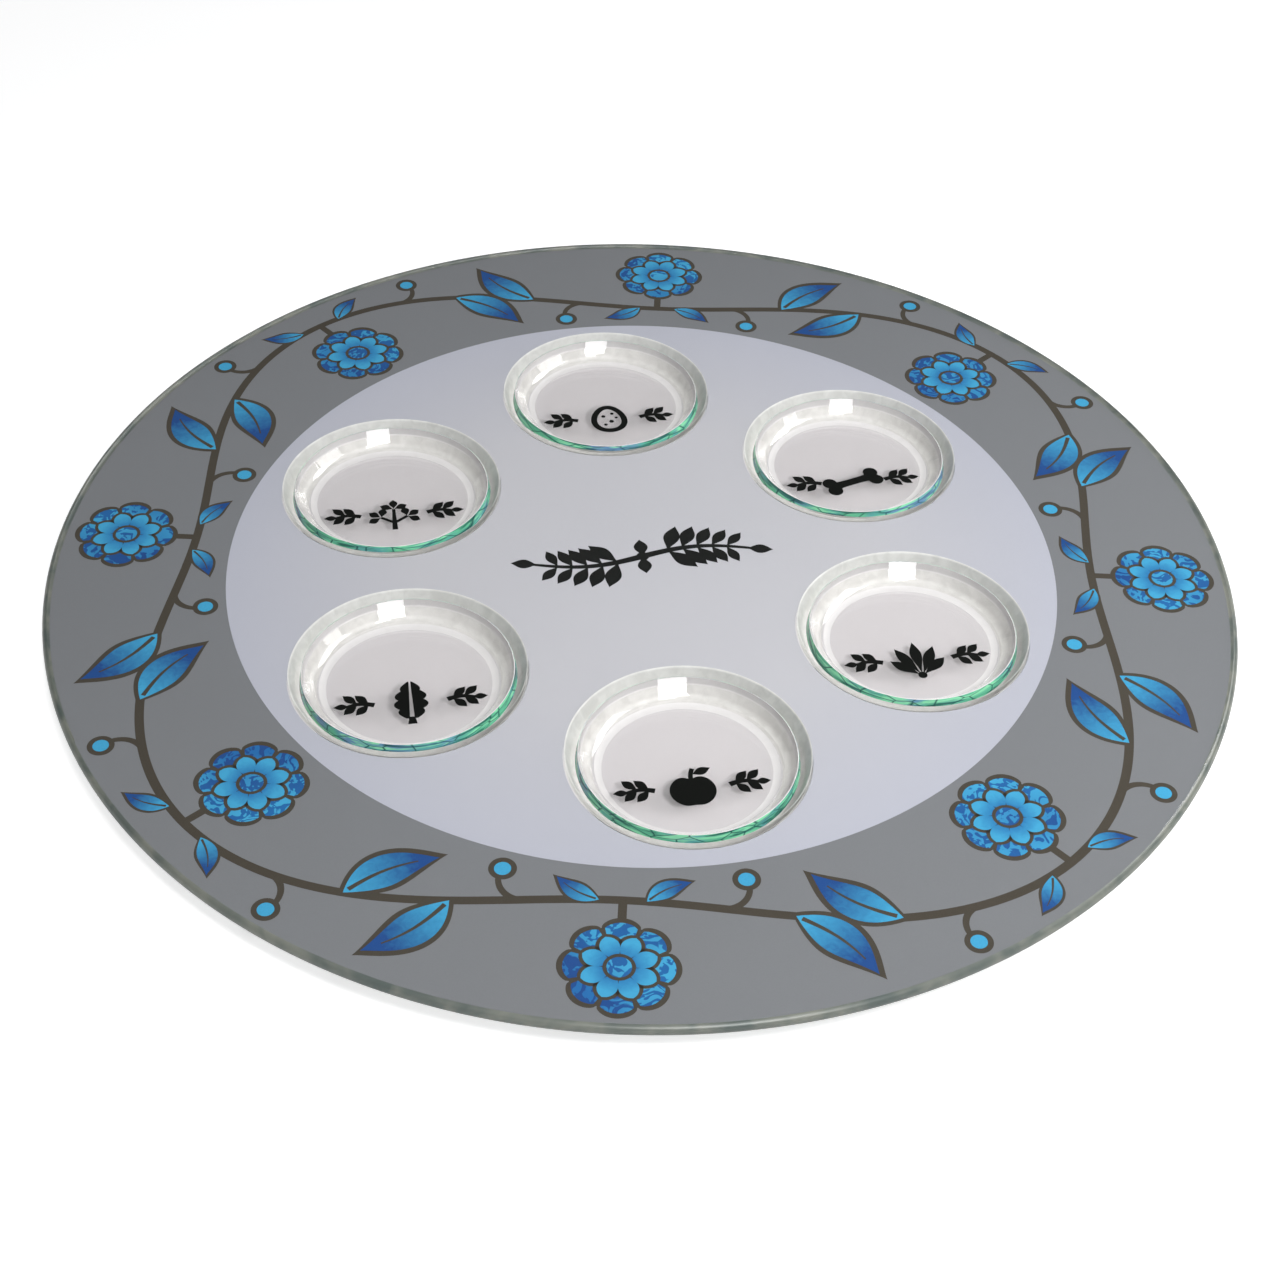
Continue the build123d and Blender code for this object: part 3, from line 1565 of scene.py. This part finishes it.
    def build(self) -> list[Piece]:
        """Model and dress the whole border.

        Returns:
            The prints, from the lowest to the highest.
        """
        rosettes = self.rosette_places()
        line_ink = PrintInk("dark line ink", Ink.LINE, 0.08).material()
        brocade = BrocadeInk("blue brocade ink", Ink.MID_BLUE, Ink.SKY_BLUE, Ink.DEEP_BLUE).material()
        leaf_ink = GradientInk("blue leaf ink", Ink.SKY_BLUE, Ink.DEEP_BLUE).material()
        petal_ink = GradientInk("blue petal ink", Ink.MID_BLUE, Ink.SKY_BLUE).material()
        sky_ink = PrintInk("sky blue ink", Ink.SKY_BLUE, 0.10).material()
        leaves = copies_at(self.leaf(0.0), self.leaf_places())
        petals = copies_at(self.petals(self.rosette_radius - self.outline), rosettes)
        layers = [
            ("border_lines", self.lines(), line_ink),
            ("border_petals", petals, brocade),
            ("border_leaves", leaves, leaf_ink),
            ("border_berries", self.berries(self.berry_radius), sky_ink),
            ("border_fine_lines", self.fine_lines(), line_ink),
            ("border_inner_petals", copies_at(self.inner_petals(0.0), rosettes), petal_ink),
            ("border_eye_rings", copies_at(Cutter.disc(self.eye_ring), rosettes), line_ink),
            ("border_eyes", copies_at(Cutter.disc(self.eye_radius), rosettes), brocade),
        ]
        made = []
        for height, (name, pieces, ink) in enumerate(layers, start=1):
            piece = Cutter.print_on(pieces, name, self.ground + height * PRINT_LAYER / 2, PRINT_LAYER)
            dress(piece, [ink])
            made.append(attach(piece, PLATE_BODY))
        return made


@dataclass
class CentreOrnament:
    """Two black sprigs that meet at a dot between two leaves, in the middle of the pale print."""

    ground: float
    length: float = 38 * MM
    rise: float = 3.2 * MM
    leaf_count: int = 5
    leaf_length: float = 13.5 * MM
    leaf_width: float = 5.6 * MM
    leaf_lean: float = math.radians(58)
    leaf_shrink: float = 0.40
    first_leaf: float = 0.23
    leaf_stretch: float = 0.68
    end_length: float = 9.0 * MM
    dot_radius: float = 2.2 * MM

    def stem(self, t: float) -> Point:
        """One sprig's stem, from the middle outwards."""
        return self.length * t, self.rise * math.sin(math.pi * t)

    def sprig(self) -> list[Piece]:
        """One sprig: a stem with pairs of leaves that get smaller, and one at its tip.

        Returns:
            The flat shapes.
        """
        pieces = [Cutter.strip(self.stem, tapered(1.4 * MM, 0.6 * MM), 24)]
        for k in range(self.leaf_count):
            share = self.first_leaf + self.leaf_stretch * k / self.leaf_count
            here = Vector(self.stem(share))
            ahead = Vector(self.stem(share + 0.01)) - here
            heading = math.atan2(ahead.y, ahead.x)
            size = Matrix.Scale(1.0 - self.leaf_shrink * k / self.leaf_count, 4)
            for side in (1, -1):
                leaf = Cutter.leaf(self.leaf_length, self.leaf_width, 0.55)
                pieces.append(placed(leaf, turned(heading + side * self.leaf_lean, *here) @ size))
        tip = Cutter.leaf(self.end_length, 4.6 * MM, 0.5)
        return [*pieces, placed(tip, turned(-0.2, 0.96 * self.length, 0.2 * MM))]

    def build(self) -> Piece:
        """Model and dress the ornament.

        Returns:
            The finished print.
        """
        pieces = self.sprig() + [placed(piece, turned(math.pi)) for piece in self.sprig()]
        pieces.append(Cutter.disc(self.dot_radius))
        upright = [turned(QUARTER_TURN), turned(-QUARTER_TURN)]
        pieces += copies_at(Cutter.leaf(self.end_length, 4.8 * MM, 0.55), upright)
        piece = Cutter.print_on(pieces, "centre_sprigs", self.ground + PRINT_LAYER, PRINT_LAYER)
        dress(piece, [PrintInk("black ink", Ink.BLACK, 0.1).material()])
        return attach(piece, PLATE_BODY)


@dataclass
class Emblem:
    """A small black picture of a food between two sprigs, drawn in millimetres, on the floor of its dish."""

    food: Food
    floor_top: float
    nearer: float = 9.5 * MM
    layer: float = 2 * PRINT_LAYER

    def egg(self) -> list[Piece]:
        """An egg's outline with a few specks.

        Returns:
            The flat shapes.
        """

        def shell(t: float) -> Point:
            """The shell at a share of the way round."""
            angle = FULL_TURN * t
            return 5.6 * math.cos(angle) * (1 - 0.17 * math.sin(angle)), 7.2 * math.sin(angle)

        specks = ((-1.9, 1.7, 0.8), (1.5, 3.1, 0.7), (0.8, -1.7, 0.9), (-1.6, -3.5, 0.7), (2.8, 0.5, 0.6))
        dots = [Cutter.disc(radius, x, y) for x, y, radius in specks]
        return [Cutter.strip(shell, tapered(1.15, 1.15), 72), *dots]

    def shank_bone(self) -> list[Piece]:
        """A bone with two knuckles at each end, lying aslant.

        Returns:
            The flat shapes.
        """
        along = Vector(polar(1.0, 0.30))
        across = Vector((-along.y, along.x))

        def width(t: float) -> float:
            """Half the shaft's width, which grows towards both ends."""
            return 1.7 + 1.1 * (2 * t - 1) ** 4

        pieces = [Cutter.strip(straight(along * -8, along * 8), width, 24)]
        for end in (-1, 1):
            for side in (-1, 1):
                pieces.append(Cutter.disc(2.7, *(along * end * 8.4 + across * side * 2.2)))
        return pieces

    def bitter_herb(self) -> list[Piece]:
        """Five long blades that fan out from one root.

        Returns:
            The flat shapes.
        """
        pieces = [Cutter.disc(1.5, 0, -7.2)]
        for angle, length in ((90, 16.0), (64, 15.0), (116, 15.0), (40, 12.0), (140, 12.0)):
            pieces.append(placed(Cutter.leaf(length, 3.9, 0.62), turned(math.radians(angle), 0, -7.4)))
        return pieces

    def fruit_paste(self) -> list[Piece]:
        """An apple with a stalk and a leaf.

        Returns:
            The flat shapes.
        """

        def edge(t: float) -> Point:
            """The apple's edge, dented at the stalk and a little at the foot.

            Args:
                t: The share, from 0 to 1.

            Returns:
                The point.
            """
            angle = FULL_TURN * t
            dent = 0.26 * math.exp(-(math.remainder(angle - QUARTER_TURN, FULL_TURN) / 0.36) ** 2)
            foot = 0.10 * math.exp(-(math.remainder(angle + QUARTER_TURN, FULL_TURN) / 0.30) ** 2)
            x, y = polar(6.7 * (1 - dent - foot), angle)
            return 1.08 * x, y - 1.2

        def stalk(t: float) -> Point:
            """The stalk's line."""
            return 1.1 * t * t, 3.0 + 5.0 * t

        leaf = placed(Cutter.leaf(6.4, 3.1, 0.5), turned(0.35, 0.8, 5.6))
        return [Cutter.shape(edge, 96), Cutter.strip(stalk, tapered(0.75, 0.75), 8), leaf]

    def lettuce(self) -> list[Piece]:
        """A long leaf with a ruffled edge, split by its midrib.

        Returns:
            The flat shapes.
        """

        def half(side: int) -> Outline:
            """The outline of one half of the leaf.

            Args:
                side: 1 for the right half, or -1 for the left half.

            Returns:
                The outline.
            """

            def edge(t: float) -> Point:
                """The point at a share of the way round, up the midrib and down the ruffled edge.

                Args:
                    t: The share, from 0 to 1.

                Returns:
                    The point.
                """
                up = 2 * t if t < 0.5 else 2 - 2 * t
                rib = 0.25 + 0.5 * (1 - up)
                ruffle = 0.70 + 0.30 * abs(math.sin(4 * math.pi * up)) ** 0.8
                broad = 5.0 * math.sin(math.pi * (0.04 + 0.94 * up) ** 0.9) ** 0.75 * ruffle
                return side * (rib if t < 0.5 else rib + broad), -7.4 + 17.0 * up

            return edge

        stalk = Cutter.strip(straight((0.0, -9.8), (0.0, -6.6)), tapered(1.5, 0.9), 4)
        return [Cutter.shape(half(1), 240), Cutter.shape(half(-1), 240), stalk]

    def green_vegetable(self) -> list[Piece]:
        """A sprig whose three branches end in leaves of three blades.

        Returns:
            The flat shapes.
        """
        pieces = [Cutter.strip(straight((0.0, -8.4), (0.0, 1.2)), tapered(1.0, 0.6), 6)]
        for lean, fork, length in ((0.0, -1.0, 4.0), (0.95, -4.6, 5.6), (-0.95, -4.6, 5.6)):
            heading = QUARTER_TURN - lean
            end = Vector((0, fork)) + Vector(polar(length, heading))
            blades = [turned(heading + turn, *end) for turn in (-1.15, 0.0, 1.15)]
            pieces.append(Cutter.strip(straight((0.0, fork), end), tapered(0.6, 0.6), 4))
            pieces += copies_at(Cutter.leaf(5.2, 3.0, 0.6), blades)
        return pieces

    def picture(self) -> list[Piece]:
        """The picture of this dish's own food.

        Returns:
            The flat shapes.
        """
        pictures = {
            Food.EGG: self.egg,
            Food.SHANK_BONE: self.shank_bone,
            Food.BITTER_HERB: self.bitter_herb,
            Food.FRUIT_PASTE: self.fruit_paste,
            Food.LETTUCE: self.lettuce,
            Food.GREEN_VEGETABLE: self.green_vegetable,
        }
        return pictures[self.food]()

    def sprig(self, side: int) -> list[Piece]:
        """The stroke beside the picture, with four leaves and a tip.

        Args:
            side: 1 for the one on the right, or -1 for the one on the left.

        Returns:
            The flat shapes.
        """

        def stroke(t: float) -> Point:
            """The stroke's line, from the picture outwards."""
            return side * (11.6 + 9.0 * t), math.sin(math.pi * t)

        pieces = [Cutter.strip(stroke, tapered(1.0, 0.6), 12)]
        for share, lean in ((0.18, 0.8), (0.18, -0.8), (0.58, 0.75), (0.58, -0.75)):
            heading = lean if side > 0 else math.pi - lean
            pieces.append(placed(Cutter.leaf(6.4, 3.0, 0.55), turned(heading, *stroke(share))))
        tip = turned(0 if side > 0 else math.pi, *stroke(0.92))
        return [*pieces, placed(Cutter.leaf(4.8, 2.6), tip)]

    def build(self, centre: Point, ink: Material) -> Piece:
        """Model and dress the emblem.

        Args:
            centre: The middle of the dish.
            ink: The black ink.

        Returns:
            The finished print.
        """
        drawn = [*self.picture(), *self.sprig(1), *self.sprig(-1)]
        pieces = [placed(piece, Matrix.Scale(MM, 4)) for piece in drawn]
        name = f"{self.food.value}_emblem"
        piece = Cutter.print_on(pieces, name, self.floor_top + self.layer / 2, self.layer)
        placed(piece, turned(0, centre[0], centre[1] - self.nearer))
        dress(piece, [ink])
        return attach(piece, self.food.dish)


@dataclass
class Studio:
    """The floor, the lights and the camera of the photograph, in metres and degrees."""

    plate_top: float
    plate_radius: float
    azimuth: float = 9.6
    ground_distance: float = 0.5324
    height: float = 0.44448
    aim_nearer: float = 0.0447
    roll: float = 1.886
    lens: float = 57.04
    sensor: float = 36.0
    clip_start: float = 0.01
    clip_end: float = 50.0
    floor_size: float = 12.0
    floor_gap: float = 0.2 * MM
    floor_paint: Colour = (0.78, 0.78, 0.78, 1.0)
    floor_glow: float = 0.5
    far_floor_glow: float = 0.95
    sky: Colour = (0.98, 0.99, 1.0, 1.0)
    dim_sky: float = 0.11
    bright_sky: float = 0.58

    @property
    def towards_camera(self) -> Vector:
        """The level direction from the plate's middle to the camera."""
        angle = math.radians(self.azimuth)
        return Vector((-math.sin(angle), -math.cos(angle), 0))

    def camera(self) -> None:
        """Set up the camera at the photograph's angle."""
        data = bpy.data.cameras.new("camera")
        data.lens = self.lens
        data.sensor_width = self.sensor
        data.clip_start = self.clip_start
        data.clip_end = self.clip_end
        camera = bpy.data.objects.new("camera", data)
        bpy.context.scene.collection.objects.link(camera)
        top = Vector((0, 0, self.plate_top))
        camera.location = top + self.towards_camera * self.ground_distance + Vector((0, 0, self.height))
        aim = top + self.towards_camera * self.aim_nearer - camera.location
        roll = Quaternion((0, 0, 1), math.radians(self.roll))
        camera.rotation_mode = "QUATERNION"
        camera.rotation_quaternion = aim.to_track_quat("-Z", "Y") @ roll
        bpy.context.scene.camera = camera

    def floor(self) -> None:
        """Lay a pale floor just below the plate, white to the camera and to the glass that shows it."""
        deselect_all()
        bpy.ops.mesh.primitive_plane_add(size=self.floor_size, location=(0, 0, -self.floor_gap))
        floor = bpy.context.object
        floor.name = "floor"
        nodes = Nodes.of_material("pale floor")
        path = nodes.add("LightPath").outputs
        radii = nodes.distance(self.plate_radius)
        by_glass = nodes.calculate("MAXIMUM", path["Is Glossy Ray"], path["Is Transmission Ray"])
        outside = nodes.calculate("MULTIPLY", by_glass, nodes.spread(radii, 0.95, 1.5))
        seen = nodes.calculate("MAXIMUM", path["Is Camera Ray"], outside)
        glow = nodes.spread(radii, 3.0, 9.0, self.floor_glow, self.far_floor_glow)
        paint = nodes.add("BsdfDiffuse", Color=self.floor_paint)
        light = nodes.add("Emission", Color=WHITE, Strength=nodes.calculate("MULTIPLY", seen, glow))
        both = nodes.add("AddShader")
        nodes.feed(both.inputs[0], paint.outputs["BSDF"])
        nodes.feed(both.inputs[1], light.outputs["Emission"])
        nodes.feed(nodes.out.inputs["Surface"], both.outputs["Shader"])
        floor.data.materials.append(nodes.owner)

    def lamp(self, name: str, place: Vector, size: float, power: float) -> Piece:
        """Hang a square soft lamp that points at the plate.

        Args:
            name: The lamp's name.
            place: Where it hangs, from the plate's middle.
            size: The length of its sides.
            power: Its power in watts.

        Returns:
            The lamp.
        """
        data = bpy.data.lights.new(name, "AREA")
        data.shape = "SQUARE"
        data.size = size
        data.energy = power
        lamp = bpy.data.objects.new(name, data)
        bpy.context.scene.collection.objects.link(lamp)
        lamp.location = place
        lamp.rotation_mode = "QUATERNION"
        lamp.rotation_quaternion = (-place).to_track_quat("-Z", "Y")
        return lamp

    def lights(self) -> None:
        """Hang two lamps that only the gloss of the glass shows, and two that only light its colours."""
        near = self.towards_camera
        right = Vector((-near.y, near.x, 0))
        up = Vector((0, 0, 1))
        window = self.lamp("window", near * 0.84 + up * 0.78 + right * 0.27, 0.46, 7.0)
        beyond = self.lamp("beyond", right * 0.95 - near * 0.55 + up * 0.85, 0.5, 6.0)
        for mirrored in (window, beyond):
            mirrored.visible_diffuse = False
        key = self.lamp("key", right * 0.64 - near * 0.04 + up * 0.54, 0.40, 2.7)
        overhead = self.lamp("overhead", right * 0.24 + near * 0.42 + up * 0.74, 0.16, 4.0)
        for matte in (key, overhead):
            matte.visible_glossy = False

    def world(self) -> None:
        """Make the surroundings: a soft light, bright above the camera, dim beyond, white to the camera."""
        nodes = Nodes(bpy.data.worlds.new("studio"), "OutputWorld")
        bpy.context.scene.world = nodes.owner
        facing = nodes.add("VectorMath", operation="DOT_PRODUCT")
        nodes.feed(facing.inputs[0], nodes.add("TexCoord").outputs["Generated"])
        nodes.feed(facing.inputs[1], self.towards_camera * 0.6 + Vector((0, 0, 0.8)))
        light = nodes.spread(facing.outputs["Value"], 0.0, 1.0, self.dim_sky, self.bright_sky)
        seen = nodes.calculate("MAXIMUM", light, nodes.add("LightPath").outputs["Is Camera Ray"])
        sky = nodes.add("Background", Color=self.sky, Strength=seen)
        nodes.feed(nodes.out.inputs["Surface"], sky.outputs["Background"])

    def build(self) -> None:
        """Set up the whole studio."""
        bpy.context.scene.view_settings.view_transform = "Standard"
        self.camera()
        self.floor()
        self.lights()
        self.world()


def main() -> None:
    """Build every piece in order and report it."""
    logging.basicConfig(level=logging.INFO, format="%(message)s")
    form = DishForm(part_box(Food.EGG.dish)[0].z)
    wells = WellPlan.from_frame(form)
    plate_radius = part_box("glass_plate")[1].x
    Studio(wells.plate_top, plate_radius).build()
    layer = PrintLayer.from_frame(wells)
    pieces = [GlassPlate(wells, plate_radius).build(), *layer.build()]
    pieces += BorderOrnament(layer.ground_top, (layer.border_inner + layer.border_outer) / 2).build()
    pieces.append(CentreOrnament(layer.ground_top).build())
    # pale satin on the dish's ground edge, and as a painted bright ring under its bend
    within = SatinGlass("ground edge and painted bright ring within the glass", (0.86, 0.85, 0.84, 1.0), (0.82, 0.81, 0.80, 1.0))
    # the edge skin's colours paint the glow of light running through the glass edge, with painted reflections
    # and painted shade
    finishes = (ClearGlass("slumped dish glass", wave_scale=110.0), within, CutEdgeWithPaintedGlow("ground edge skin with painted glow"))
    materials = [finish.material() for finish in finishes]
    black = PrintInk("black dish ink", Ink.BLACK, 0.1).material()
    for food, centre in zip(Food, wells.centres):
        pieces.append(Dish(food, form).build(centre, materials))
        pieces.append(Emblem(food, form.floor_top).build(centre, black))
    for piece in pieces:
        LOG.info("%s: %d faces", piece.name, len(piece.data.polygons))


if __name__ == "__main__":
    main()
